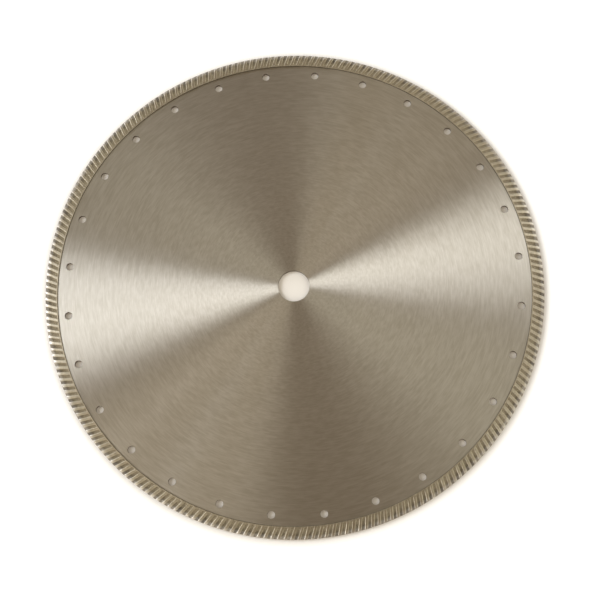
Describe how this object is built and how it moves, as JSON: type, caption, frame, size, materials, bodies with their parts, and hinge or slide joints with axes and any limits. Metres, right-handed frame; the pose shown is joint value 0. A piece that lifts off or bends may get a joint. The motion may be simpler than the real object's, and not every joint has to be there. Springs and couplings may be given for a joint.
{
  "type": "diamond blade",
  "caption": "Continuous-rim turbo diamond blade: a ground steel disc with an arbor bore and a ring of vents, edged with a slant-grooved sintered rim.",
  "frame": {"origin": "centre of the arbor bore, half way through the blade's thickness", "axes": "+Z along the arbor axis, out of the upper face; +X through the centre of one vent"},
  "size_m": [0.4, 0.4, 0.0034],
  "materials": {
    "core_steel": "ground in fine circles about the bore",
    "bond_metal": "sintered, matt, without diamonds",
    "rim_sinter": "sintered bond, lands dressed bright, grooves as pressed and matt",
    "diamond_grit": "small blocky crystals standing out of the bond"
  },
  "bodies": {
    "root": {"steel_core": "core_steel", "bond_ring": "bond_metal", "diamond_rim": "rim_sinter"}
  },
  "joints": []
}
